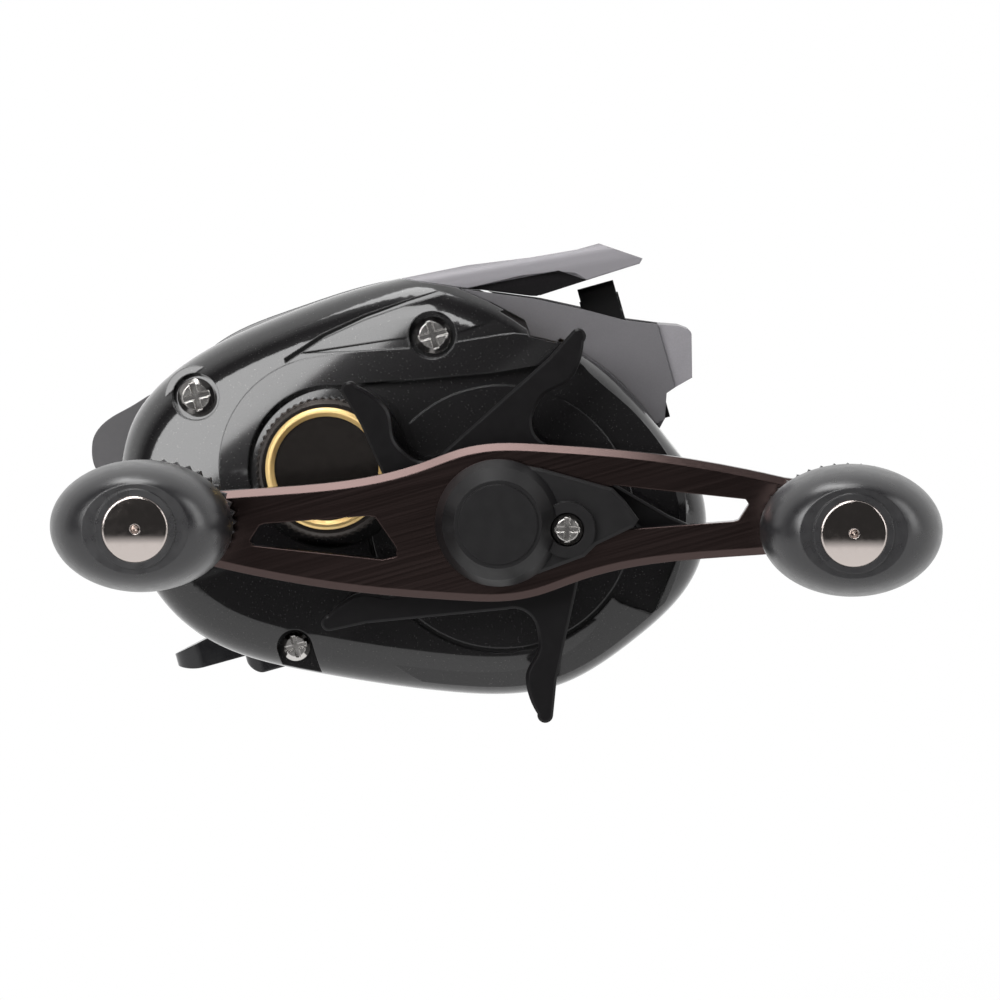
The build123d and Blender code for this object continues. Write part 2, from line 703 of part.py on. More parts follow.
# ---------------------------------------------------------------- clutch
def build_clutch_plate():
    low = plate_out - part_gap / 2
    high = low - clutch_plate_t
    slot_w = pinion_collar_r + 0.35
    half = ramp_x + 1.8
    shape = poly((lug_x - lug_w / 2, lug_z + 1.6), (lug_x + 1.4, lug_z + 1.8), (-13.4, 37.2), (-12.4, 39.0),
                 (spool_x - 6, spool_z + 15.4), (spool_x + 7, spool_z + 15.4), (spool_x + half, spool_z + 12),
                 (spool_x + half, spool_z - 6.5), (spool_x - half, spool_z - 6.5),
                 (spool_x - half, spool_z + 3), (lug_x + 1.4, lug_z - 2.4), (lug_x - lug_w / 2, lug_z - 2.0))
    plate = along_y(shape, low, high)
    hole = disc(spool_x, spool_z, slot_w) + disc(spool_x, spool_z + thumb_travel, slot_w)
    hole += Pos(spool_x, spool_z + thumb_travel / 2) * Rectangle(2 * slot_w, thumb_travel)
    plate -= along_y(hole, low + 1, high - 1)
    post_gap = yoke_post_r + part_gap
    for x, z in post_spots():
        plate -= box(x - post_gap, x + post_gap, high - 1, low + 1, z - 2, z + thumb_travel + post_gap)
    plate -= box(lug_x - lug_w / 2, lug_x + lug_w / 2, plate_out - 5, plate_out + 1,
                 lug_z - lug_h / 2, lug_z + lug_h / 2)
    ramp_low = yoke_back() + slide_gap
    ramp_high = ramp_low - pinion_travel
    for side in (-1, 1):
        x = spool_x + side * ramp_x
        wedge = Pos(x, 0, 0) * extrude(
            Rot(0, 90, 0) * Rot(0, 0, 90) * make_face(Polyline(
                (high + 0.01, spool_z - 1.2), (ramp_low, spool_z - 1.2), (ramp_low, spool_z + 1.0),
                (ramp_high, spool_z + 1.0 + thumb_travel), (ramp_high, spool_z + 2.4 + thumb_travel),
                (high + 0.01, spool_z + 2.4 + thumb_travel), close=True)), amount=ramp_w / 2, both=True)
        plate += wedge
    return plate


def post_spots():
    """Spring posts on a leaning line through the spool axis, clear of the main gear."""
    lean = radians(yoke_post_lean)
    across = yoke_post_reach * cos(lean)
    up = yoke_post_reach * sin(lean)
    return ((spool_x + across, spool_z + up), (spool_x - across, spool_z - up))


def yoke_back():
    """Face of the yoke turned to the frame."""
    return groove_start - slide_gap


def build_yoke():
    far = yoke_back()
    near = far - yoke_t
    blank = Pos(spool_x, spool_z) * RectangleRounded(2 * (ramp_x + 2.0), 5.2, 1.2)
    ear = RectangleRounded(2 * (yoke_post_reach + spring_r + 0.4), 4.2, 2.0)
    ears = Pos(spool_x, spool_z) * Rot(0, 0, yoke_post_lean) * ear
    fork = blank + ears + disc(spool_x, spool_z - 1.2, pinion_collar_r + 0.4)
    yoke = along_y(fork, far, near)
    neck = pinion_groove_r + slide_gap
    yoke -= rod(spool_x, spool_z, far + 1, near - 1, neck)
    for x, z in post_spots():
        yoke -= rod(x, z, far + 1, near - 1, yoke_post_r + slide_gap)
    mouth = Pos(spool_x, spool_z) * Rot(0, 0, yoke_post_lean / 2) * Pos(0, 6) * Rectangle(2 * neck, 12)
    yoke -= along_y(mouth, far + 1, near - 1)
    for side in (-1, 1):
        yoke -= box(spool_x + side * ramp_x - ramp_w / 2 - 0.1, spool_x + side * ramp_x + ramp_w / 2 + 0.1,
                    near - 1, far + 1, spool_z + 1.0, spool_z + 5)
    return yoke


def build_yoke_posts():
    posts = []
    for x, z in post_spots():
        post = rod(x, z, plate_out + 1.3, post_end(), yoke_post_r)
        post += rod(x, z, post_end() + 0.6, post_end(), yoke_post_r + 0.7)
        posts.append(post)
    return Compound(children=posts)


def post_end():
    return cover_inside + boss_root + part_gap


def build_yoke_springs():
    coils = []
    far = yoke_back() - yoke_t - spring_wire
    near = post_end() + 0.6 + spring_wire
    height = far - near
    for x, z in post_spots():
        path = Edge.make_helix(pitch=height / spring_turns, height=height, radius=spring_r - spring_wire,
                               center=(x, near, z), normal=(0, 1, 0))
        section = Plane(origin=path @ 0, z_dir=path % 0) * RegularPolygon(spring_wire, 4)
        coils.append(sweep(section, path=path, is_frenet=True))
    return Compound(children=coils)


def build_kick_lever():
    low = plate_out - part_gap / 2 - clutch_plate_t
    rim = ((5.4, -4.6), (8.4, -3.6), (10.6, -2.2), (10.9, -3.6), (8.8, -6.2), (6.0, -6.4))
    shape = Pos(spool_x, spool_z) * poly(*rim)
    return along_y(shape, low, low - kick_t)


# ---------------------------------------------------------------- spool group
def build_spool():
    out = flange_out
    lip = flange_out - flange_t
    inner = arbor_r - arbor_wall
    half = [
        (inner, out), (flange_r - 1.2, out), (flange_r, out - 0.5), (flange_r, lip - 0.2),
        (arbor_r + 2.2, lip - 1.6), (arbor_r, lip - 4.0), (arbor_r, 4.0 - lip), (arbor_r + 2.2, 1.6 - lip),
        (flange_r, 0.2 - lip), (flange_r, 0.5 - out), (flange_r - 1.2, -out), (inner, -out)]
    spool = turned(spool_x, spool_z, *half)
    spool += ring(spool_x, spool_z, web_y + web_t / 2, web_y - web_t / 2, inner + 0.2, hub_r - 0.2)
    spool += ring(spool_x, spool_z, hub_end, web_y - 2.4, hub_r, shaft_r)
    for i in range(6):
        turn = 2 * pi * i / 6
        spool -= rod(spool_x + 6.1 * cos(turn), spool_z + 6.1 * sin(turn), web_y + 3, web_y - 3, 1.5)
    drill = Pos(arbor_r, 0, 0) * Rot(0, 90, 0) * Cylinder(1.5, 4)
    for i in range(8):
        spool -= Pos(spool_x, 0, spool_z) * Rot(0, 45 * i, 0) * drill
    return spool


def build_spool_shaft():
    shaft = rod(spool_x, spool_z, shaft_palm_end, shaft_handle_end, shaft_r)
    shaft = chamfer(shaft.edges().filter_by(GeomType.CIRCLE), 0.3)
    return shaft - cross_bore(clutch_pin_r)


def cross_bore(r):
    return Pos(spool_x, pin_y, spool_z) * Rot(0, 90, 0) * Cylinder(r, clutch_pin_len)


def build_clutch_pin():
    return cross_bore(clutch_pin_r)


def bearing(x, z, far, near, r_out, r_in):
    body = ring(x, z, far, near, r_out, r_in)
    span = r_out - r_in
    for y0, y1 in ((far + 1, far - 0.25), (near + 0.25, near - 1)):
        body -= ring(x, z, y0, y1, r_out - 0.25 * span, r_in + 0.25 * span)
    return body


def build_brake_hub():
    hub = ring(spool_x, spool_z, hub_end + brake_hub_t, hub_end, brake_hub_r, shaft_r)
    for i in range(4):
        hub += at_spoke(i) * Pos(brake_hub_r + 0.6, 0, 0) * Rot(0, 90, 0) * Cylinder(0.45, 2.6)
    return hub


def at_spoke(i):
    return Pos(spool_x, hub_end + brake_hub_t / 2, spool_z) * Rot(0, 45 + 90 * i, 0)


def build_brake_weights():
    weights = []
    for i in range(4):
        block = Pos(brake_hub_r + 0.45 + brake_weight_len / 2, 0, 0) * Box(brake_weight_len, 2.0, 1.9)
        pin = Pos(brake_hub_r + 0.6, 0, 0) * Rot(0, 90, 0) * Cylinder(0.5, 2.7)
        weights.append(at_spoke(i) * (block - pin))
    return Compound(children=weights)


# ---------------------------------------------------------------- palm-side group
def build_palm_cover():
    outline = palm_outline()
    start = ring_out
    cover = rounded_lid(outline, start, start + palm_depth, palm_round)
    inside_face = start + palm_depth - palm_wall
    cover -= along_y(palm_outline(-palm_wall), start + palm_depth - palm_round, start)
    cover -= along_y(palm_outline(-palm_wall - 3.4), inside_face, start)
    cover += rod(spool_x, spool_z, inside_face, palm_bearing_start(), palm_hub_r)
    cover += ring(spool_x, spool_z, inside_face, start, brake_pipe_r + 2.0, brake_pipe_r + 1.0)
    cover -= rod(spool_x, spool_z, palm_bearing_end(), 0, spool_bearing_r)
    cover -= rod(spool_x, spool_z, palm_bearing_end() + 1.6, 0, shaft_r + part_gap)
    cover -= rod(spool_x, spool_z, palm_face + 1, palm_face - dial_seat, brake_dial_r + part_gap)
    cover -= rod(spool_x, spool_z, palm_face + 1, inside_face - 1.2, dial_pin_r)
    over_hood = poly((11.4, 60), (11.4, 47.8), (18.4, 44.7), (24, 42.8), (60, 42.8), (60, 60))
    cover -= along_y(over_hood, hood_half + part_gap, start - 1)
    for x, z in palm_pegs():
        cover += rod(x, z, inside_face, start - 2.0, palm_peg_r)
        cover += rod(x, z, inside_face, start, 2.0)
    x, z = release_axis()
    cover -= rod(x, z, start + palm_depth + 1, start, 1.5)
    return cover


def palm_pegs():
    return ((24.0, 31.0), (-22.5, 22.0), (24.5, 16.0))


def release_axis():
    return (20.0, 24.0)


def palm_bearing_start():
    return shaft_palm_end - bearing_w - 0.4


def palm_bearing_end():
    return shaft_palm_end - 0.4


def build_brake_pipe():
    seat = palm_face - palm_wall
    pipe = ring(spool_x, spool_z, seat, hub_end + 0.4, brake_pipe_r, brake_pipe_r - brake_pipe_wall)
    pipe += ring(spool_x, spool_z, seat, seat - 1.2, brake_pipe_r, palm_hub_r + slide_gap)
    return pipe


def build_brake_dial():
    start = palm_face - dial_seat
    rim = Pos(spool_x, spool_z) * ribbed_face(brake_dial_r, brake_dial_r, brake_rib_deep, brake_ribs)
    dial = along_y(rim, start + brake_dial_t, start)
    dial += rod(spool_x, spool_z, start, palm_face - palm_wall - 0.6, dial_pin_r - slip)
    top = start + brake_dial_t
    dial -= box(spool_x - 5.2, spool_x + 5.2, top - 0.5, top + 1, spool_z - 0.5, spool_z + 0.5)
    return dial


def build_release_lever():
    x, z = release_axis()
    start = palm_face + part_gap / 2
    blade = Pos(x, z) * (Circle(2.8) + Pos(0, -release_len / 2 + 1.4) * Rectangle(4.2, release_len - 4)
                         + Pos(0, -release_len + 3.4) * Circle(2.1))
    lever = along_y(blade, start + release_t, start)
    lever += rod(x, z, start, ring_out + 1.0, 1.5 - slip)
    lever += rod(x, z, ring_out + 2.2, ring_out + 1.0, 2.6) - rod(x, z, ring_out + 3, ring_out, 1.0) + rod(
        x, z, ring_out + 2.2, ring_out + 1.0, 1.4)
    return lever


# ---------------------------------------------------------------- gear train
def build_pinion():
    teeth = gear_face(pinion_teeth, main_module, mate_phase(to_pinion, main_teeth, pinion_teeth, to_pinion))
    pinion = along_y(Pos(spool_x, spool_z) * teeth, teeth_start, teeth_end)
    pinion += rod(spool_x, spool_z, collar_start, groove_start, pinion_collar_r)
    pinion += rod(spool_x, spool_z, groove_start, groove_end, pinion_groove_r)
    pinion += rod(spool_x, spool_z, groove_end, teeth_start, pinion_collar_r)
    pinion += rod(spool_x, spool_z, teeth_end, pinion_end, pinion_journal_r)
    pinion -= rod(spool_x, spool_z, 0, -60, shaft_r + pinion_bore_gap)
    slot = clutch_pin_r + slide_gap
    pinion -= box(spool_x - 10, spool_x + 10, pin_y - slot, 0, spool_z - slot, spool_z + slot)
    return pinion


def build_main_gear():
    teeth = gear_face(main_teeth, main_module, to_pinion)
    gear = along_y(Pos(drive_x, drive_z) * teeth, main_start, main_end)
    gear -= rod(drive_x, drive_z, cup_floor, -60, main_cup_r)
    gear -= rod(drive_x, drive_z, 0, -60, drive_r + slip)
    return gear


def build_drive_shaft():
    shaft = rod(drive_x, drive_z, plate_out + 2.4, plate_out - 0.2, drive_tail_r)
    shaft += rod(drive_x, drive_z, plate_out - 0.2, drive_end, drive_r)
    shaft += rod(drive_x, drive_z, drive_flange_start, ratchet_start, drive_flange_r)
    return shaft


def build_ratchet():
    points = []
    for i in range(ratchet_teeth):
        start = 2 * pi * i / ratchet_teeth
        stop = 2 * pi * (i + 0.86) / ratchet_teeth
        points.append((ratchet_r * cos(start), ratchet_r * sin(start)))
        points.append(((ratchet_r - 1.6) * cos(stop), (ratchet_r - 1.6) * sin(stop)))
    wheel = along_y(Pos(drive_x, drive_z) * poly(*points), ratchet_start, ratchet_end)
    return wheel - rod(drive_x, drive_z, 0, -60, drive_r + slip)


def build_wind_gear():
    axis = atan2(idler_axis()[1] - drive_z, idler_axis()[0] - drive_x)
    gear = along_y(Pos(drive_x, drive_z) * gear_face(wind_teeth_a, wind_module, axis), wind_start, wind_end)
    return gear - rod(drive_x, drive_z, 0, -60, drive_r)


def idler_phase():
    x, z = idler_axis()
    axis = atan2(z - drive_z, x - drive_x)
    return mate_phase(axis, wind_teeth_a, wind_teeth_b, axis)


def build_idler():
    x, z = idler_axis()
    gear = along_y(Pos(x, z) * gear_face(wind_teeth_b, wind_module, idler_phase()), wind_start, wind_end)
    return gear - rod(x, z, 0, -60, idler_pin_r + slip)


def build_worm_gear():
    x, z = idler_axis()
    axis = atan2(worm_z - z, worm_x - x)
    phase = mate_phase(idler_phase(), wind_teeth_b, wind_teeth_c, axis)
    gear = along_y(Pos(worm_x, worm_z) * gear_face(wind_teeth_c, wind_module, phase), wind_start, wind_end)
    return gear - rod(worm_x, worm_z, 0, -60, worm_stub_r)


def build_worm_shaft():
    half = frame_half - 0.6
    worm = rod(worm_x, worm_z, half, -half, worm_r)
    worm += rod(worm_x, worm_z, ring_out - 0.2, wind_end, worm_stub_r)
    tilt = degrees(atan2(worm_pitch / 2, 2 * worm_r))
    count = int((2 * half - 2 * worm_pitch / 2) / worm_pitch)
    for side in (-1, 1):
        for i in range(count + 1):
            y = (i - count / 2) * worm_pitch
            cut = Cylinder(worm_r + 1, 0.9) - Cylinder(worm_r - 0.9, 2)
            worm -= Pos(worm_x, y, worm_z) * Rot(side * tilt, 0, 0) * Rot(90, 0, 0) * cut
    return worm


def build_worm_guard():
    guard = ring(worm_x, worm_z, frame_half, -frame_half, guard_r, guard_r - guard_wall)
    reach = carriage_travel + pawl_r + part_gap
    half = pawl_r + part_gap
    return guard - box(worm_x - half, worm_x + half, -reach, reach, worm_z - 9, worm_z)


def build_guide_bar():
    return rod(worm_x - guide_bar_back, worm_z, frame_half + 1.2, plate_out + 1.6, guide_bar_r)


def build_line_guide():
    half = carriage_half
    back = worm_x - guide_bar_back - guide_bar_r - 1.2
    front = worm_x + guard_r + 0.8
    low = worm_z - 5.6
    body = box(back, front, -half, half, low, worm_z + 5.0)
    body -= box(back - 1, worm_x - guard_r - 0.6, -half - 1, half + 1, worm_z + 2.6, worm_z + 9)
    body -= box(back - 1, worm_x - guard_r - 0.6, -half - 1, half + 1, low - 1, worm_z - 2.6)
    tower = box(guide_block_x0, guide_block_x1, -half, half, worm_z + 4, guide_top)
    tower = fillet(tower.edges().filter_by(Axis.X).sort_by(Axis.Z)[-2:], 0.8)
    body += tower
    body -= rod(worm_x, worm_z, 20, -20, guard_r + slide_gap)
    body -= rod(worm_x - guide_bar_back, worm_z, 20, -20, guide_bar_r + slide_gap)
    body -= Pos(worm_x, 0, ring_z) * Rot(0, 90, 0) * Cylinder(ring_outer, 20)
    body -= Pos(worm_x, 0, low) * Cylinder(pawl_r + slip, 8)
    body -= Pos(worm_x, 0, low) * Cylinder(pawl_cap_r, 2.0)
    return body


def build_line_ring():
    centre = (guide_block_x0 + guide_block_x1) / 2
    half = (guide_block_x1 - guide_block_x0) / 2
    profile = poly((ring_bore + 0.4, -half - 0.2), (ring_outer, -half - 0.2), (ring_outer, half + 0.2),
                   (ring_bore + 0.4, half + 0.2), (ring_bore, half - 0.6), (ring_bore, -half + 0.6))
    return Pos(centre, 0, ring_z) * Rot(0, 0, -90) * revolve(profile, Axis.Y, 360)


def build_pawl():
    top = worm_z - worm_r - 0.1
    low = worm_z - 4.6
    pawl = Pos(worm_x, 0, (top + low) / 2) * Cylinder(pawl_r, top - low)
    tip = Pos(worm_x, 0, top) * (Box(5, 5, 1.2) - Box(5, 0.7, 3))
    return pawl - tip


def build_pawl_cap():
    low = worm_z - 5.6
    cap = Pos(worm_x, 0, low - 0.1) * Cylinder(pawl_cap_r, 1.8)
    return cap - Pos(worm_x, 0, low - 1.0) * Box(6, 0.5, 0.8)


# ---------------------------------------------------------------- drag stack and one-way bearing
def build_drag_washer():
    return ring(drive_x, drive_z, cup_floor, key_start, main_cup_r - 0.3, drive_r + 0.6)


def build_key_washer():
    washer = ring(drive_x, drive_z, key_start, key_end, main_cup_r - 0.5, drive_r + slip)
    for i in range(6):
        turn = 2 * pi * i / 6
        washer -= rod(drive_x + 10.5 * cos(turn), drive_z + 10.5 * sin(turn), key_start + 1, key_end - 1, 2.0)
    return washer


def build_drag_tube():
    tube = ring(drive_x, drive_z, key_end, tube_end, tube_r, drive_r + slip)
    return tube + ring(drive_x, drive_z, key_end, key_end - 0.7, tube_r + 1.6, drive_r + slip)


def build_one_way():
    body = ring(drive_x, drive_z, roller_start, roller_end, roller_r, tube_r + 1.3)
    rollers = []
    for i in range(8):
        turn = 2 * pi * i / 8
        reach = tube_r + slip + 0.75
        rollers.append(rod(drive_x + reach * cos(turn), drive_z + reach * sin(turn), roller_start - 0.4,
                           roller_end + 0.4, 0.72))
    cage = body
    for roller in rollers:
        cage -= roller
    return Compound(children=[cage] + rollers)


def build_drag_springs():
    mid = (tube_end + spring_end) / 2
    bowl_a = turned(drive_x, drive_z, (drive_r + slip, tube_end), (spring_disc_r, mid + 0.25),
                    (spring_disc_r, mid - 0.0), (drive_r + slip, tube_end - 0.35))
    bowl_b = turned(drive_x, drive_z, (drive_r + slip, spring_end), (spring_disc_r, mid - 0.25),
                    (spring_disc_r, mid - 0.02), (drive_r + slip, spring_end + 0.35))
    return Compound(children=[bowl_a, bowl_b])


# ---------------------------------------------------------------- star drag
def star_outline():
    """Five swept arms: a leading edge that bends at its end, a round tip, a curved back and a round root."""
    trailing = [(11.2, -4.15), (12.4, -3.5), (14.4, -3.05), (17.6, -3.8), (19.4, -3.3), (22.1, -1.4)]
    edges = []
    for i in range(5):
        back = [star_point(u, v, i) for u, v in trailing]
        tip_end = star_point(21.8, 0.5, i)
        bend = star_point(17.5, 0, i)
        root = star_point(0.3, 0, i)
        edges.append(Spline(*back))
        edges.append(ThreePointArc(back[-1], star_point(star_tip, -0.5, i), tip_end))
        edges.append(Line(tip_end, bend))
        edges.append(Line(bend, root))
        edges.append(ThreePointArc(root, star_point(-1.95, 0.5, i), star_point(*trailing[0], i + 1)))
    return make_face(Curve() + edges)


def star_point(u, v, i):
    """Place on arm i: u along its leading edge, v out from that edge."""
    turn = radians(star_turn + 72 * i)
    w = star_lead + v
    return (drive_x + u * cos(turn) - w * sin(turn), drive_z + u * sin(turn) + w * cos(turn))


def build_star():
    star = along_y(star_outline(), star_arm_start, star_face)
    rim = star.faces().sort_by(Axis.Y)[0].edges()
    star = chamfer(rim, star_edge)
    star += rod(drive_x, drive_z, star_hub_start, star_face, star_hub_r)
    nut = RegularPolygon(nut_flats / 2 + slide_gap, 6, major_radius=False)
    star -= along_y(Pos(drive_x, drive_z) * nut, star_hub_start + 1, nut_end - slide_gap)
    star -= rod(drive_x, drive_z, 0, -60, drive_r + slide_gap)
    star -= rod(drive_x, drive_z, 0, spring_end, spring_disc_r + part_gap)
    return star


def build_star_nut():
    nut = RegularPolygon(nut_flats / 2, 6, major_radius=False)
    return along_y(Pos(drive_x, drive_z) * nut, spring_end - slide_gap, nut_end) - rod(
        drive_x, drive_z, 0, -60, drive_r + slip)


# ---------------------------------------------------------------- handle
def at_handle(y=0):
    return Pos(drive_x, y, drive_z) * Rot(0, -handle_tilt, 0)


def handle_outline():
    reach = knob_radius + 4.4
    side = [
        (34.5, -3.5), (24.3, -4.3), (14.4, -5.7), (9, -7.3), (4.6, -8.9), (0, -9.6), (-5, -9.5), (-17, -8.6),
        (-24.3, -7.6), (-34.5, -5.6)]
    tip = [(2.4 - reach, -4.4), (-reach, -1.6), (-reach, 1.6), (2.4 - reach, 3.6)]
    edges = []
    for turn in (1, -1):
        edges.append(Spline(*[(turn * x, turn * z) for x, z in side]))
        end = [side[-1]] + tip + [(-side[0][0], -side[0][1])]
        edges.append(Polyline(*[(turn * x, turn * z) for x, z in end]))
    face = make_face(Curve() + edges)
    window = [
        (12.4, 4.2), (14, 4.6), (29.8, 3.0), (30.2, 2.4), (29.0, 0.5), (28.4, 0.3), (16, -0.7), (15, -0.6),
        (12.4, 3.1)]
    for turn in (1, -1):
        opening = poly(*[(turn * x, turn * z) for x, z in window])
        face -= fillet(opening.vertices(), window_round)
    return face


def build_handle_arm():
    flat = at_handle(handle_start) * Rot(90, 0, 0) * handle_outline()
    arm = extrude(flat, amount=arm_t, dir=(0, -1, 0))
    rim = arm.faces().sort_by(Axis.Y)[0].outer_wire().edges()
    arm = chamfer(rim, arm_edge)
    arm += rod(drive_x, drive_z, star_face - 0.1, handle_start, arm_boss_r)
    arm -= rod(drive_x, drive_z, 0, -60, drive_r + slip)
    arm -= at_handle() * Pos(retainer_screw_x, arm_end, retainer_screw_z) * Rot(90, 0, 0) * Cylinder(
        retainer_screw_r, 6)
    eye = Rot(90, 0, 0) * Cylinder(knob_pin_r, 20)
    for side in (-1, 1):
        arm -= at_handle() * Pos(side * knob_radius, handle_start, 0) * eye
    return arm


def build_handle_nut():
    nut = RegularPolygon(handle_nut_flats / 2, 6, major_radius=False)
    solid = along_y(Pos(drive_x, drive_z) * Rot(0, 0, handle_tilt) * nut, arm_end, arm_end - handle_nut_t)
    return solid - rod(drive_x, drive_z, 0, -60, drive_r)


def retainer_tail():
    return [(2.0, 7.2), (5.2, 6.6), (13.7, 4.3), (15.2, 2.8), (16.9, 0.5), (16.3, -0.4), (11.8, -2.6),
            (10.4, -4.0), (3.0, -6.8)]


def build_retainer():
    base = arm_end
    top = base - retainer_h
    crown = retainer_top_r
    bell = turned(drive_x, drive_z, (0, base), (retainer_r, base), (retainer_r, base - 1.2),
                  (retainer_r - 0.9, base - 3.2), (crown + 0.9, top + 0.9), (crown + 0.5, top + 0.3),
                  (crown, top + 0.3), (crown, top), (0, top))
    flat = at_handle(base) * Rot(90, 0, 0) * poly(*retainer_tail())
    tail = extrude(flat, amount=1.5, dir=(0, -1, 0))
    tail = chamfer(tail.faces().sort_by(Axis.Y)[0].edges(), 0.4)
    spot = at_handle() * Pos(retainer_screw_x, 0, retainer_screw_z)
    boss = spot * Pos(0, base - 1.35, 0) * Rot(90, 0, 0) * Cylinder(3.4, 2.7)
    solid = bell + tail + boss
    nut = RegularPolygon(handle_nut_flats / 2 + slide_gap, 6, major_radius=False)
    hexagon = Pos(drive_x, drive_z) * Rot(0, 0, handle_tilt) * nut
    solid -= along_y(hexagon, base + 1, base - handle_nut_t - part_gap)
    solid -= rod(drive_x, drive_z, 0, top + retainer_wall, drive_r + slide_gap)
    solid -= spot * Pos(0, base - 2.7, 0) * Rot(90, 0, 0) * Cylinder(retainer_head_r + 0.15, 2.6)
    solid -= spot * Pos(0, base, 0) * Rot(90, 0, 0) * Cylinder(retainer_screw_r, 8)
    return solid


def build_retainer_screw():
    seat = arm_end - 1.4
    screw = cross_screw(0, 0, seat, arm_end + 2.4, retainer_screw_r, retainer_head_r, 1.2)
    return at_handle() * Pos(retainer_screw_x, 0, retainer_screw_z) * screw


def knob_places():
    return {"rear": at_handle() * Pos(-knob_radius, 0, 0), "front": at_handle() * Pos(knob_radius, 0, 0)}


def knob_start():
    return arm_end - knob_gap


def knob_pin_end():
    return knob_start() - knob_len + knob_cap_t + knob_head_room


def build_knob_body():
    start = knob_start()
    end = start - knob_len
    levels = ((1.4, 9.5, 7.0), (8.0, 10.3, 7.5), (15.0, knob_half_x, knob_half_z), (20.2, 9.3, 6.9),
              (22.7, 6.3, 5.3))
    sections = []
    for depth, half_x, half_z in levels:
        sections.append((Pos(0, start - depth, 0) * Rot(90, 0, 0) * Ellipse(half_x, half_z)).faces()[0])
    body = loft(sections)
    body += rod(0, 0, start - 22.0, end, knob_cap_r + 0.8)
    ribs = ribbed_face(knob_rib_x, knob_rib_z, knob_rib_deep, knob_ribs)
    body += along_y(ribs, start - 0.4, start - 2.8)
    body += rod(0, 0, start, start - 1.0, 5.4)
    body -= rod(0, 0, start + 1, end - 1, knob_bore_r)
    body -= rod(0, 0, start + 1, start - knob_bush_len, knob_bush_r + slip)
    body -= rod(0, 0, knob_pin_end() + knob_bush_len, end - 1, knob_bush_r + slip)
    body -= rod(0, 0, end + knob_cap_t, end - 1, knob_cap_r)
    return body


def build_knob_bushes():
    start = knob_start()
    low = ring(0, 0, start, start - knob_bush_len, knob_bush_r, knob_pin_r + slip)
    high = ring(0, 0, knob_pin_end() + knob_bush_len, knob_pin_end(), knob_bush_r, knob_pin_r + slip)
    return low, high


def build_knob_pin():
    end = knob_pin_end()
    pin = rod(0, 0, handle_start + 0.4, end, knob_pin_r)
    pin += rod(0, 0, handle_start + 0.4, handle_start, knob_pin_r + 0.9)
    pin += rod(0, 0, arm_end, knob_start() + 0.1, knob_bush_r)
    return pin - rod(0, 0, end + 4, end - 1, 0.9)


def build_knob_screw():
    end = knob_pin_end()
    return cross_screw(0, 0, end, end + 3.8, 0.9, 2.9, 1.2)


def build_knob_cap():
    end = knob_start() - knob_len
    cap = rod(0, 0, end + knob_cap_t, end - 0.25, knob_cap_r)
    cap = fillet(cap.faces().sort_by(Axis.Y)[0].edges(), 0.2)
    return cap - turned(0, 0, (0, end + 0.7), (0.55, end + 0.2), (0.55, end - 1), (0, end - 1))


# ---------------------------------------------------------------- cast control
def build_cast_cap():
    knurl = Pos(spool_x, spool_z) * ribbed_face(cast_r, cast_r, cast_rib_deep, cast_ribs)
    cap = along_y(knurl, cast_start, cast_end + 0.6)
    low = cast_end + 0.7
    rim = cast_r - cast_rib_deep
    cap += turned(spool_x, spool_z, (0, low), (rim, low), (cast_r - 0.8, cast_end), (0, cast_end))
    cap -= rod(spool_x, spool_z, 0, cast_end + cast_face_t, boss_r + slide_gap)
    cap -= rod(spool_x, spool_z, cast_end + 0.5, -60, gold_r)
    return cap


def build_gold_ring():
    far = cast_end + 0.5
    near = far - gold_t - 0.3
    return turned(spool_x, spool_z, (gold_bore, far), (gold_r, far), (gold_r, near + 0.3),
                  (gold_r - 0.3, near), (gold_bore + 0.5, near), (gold_bore, near + 0.5))


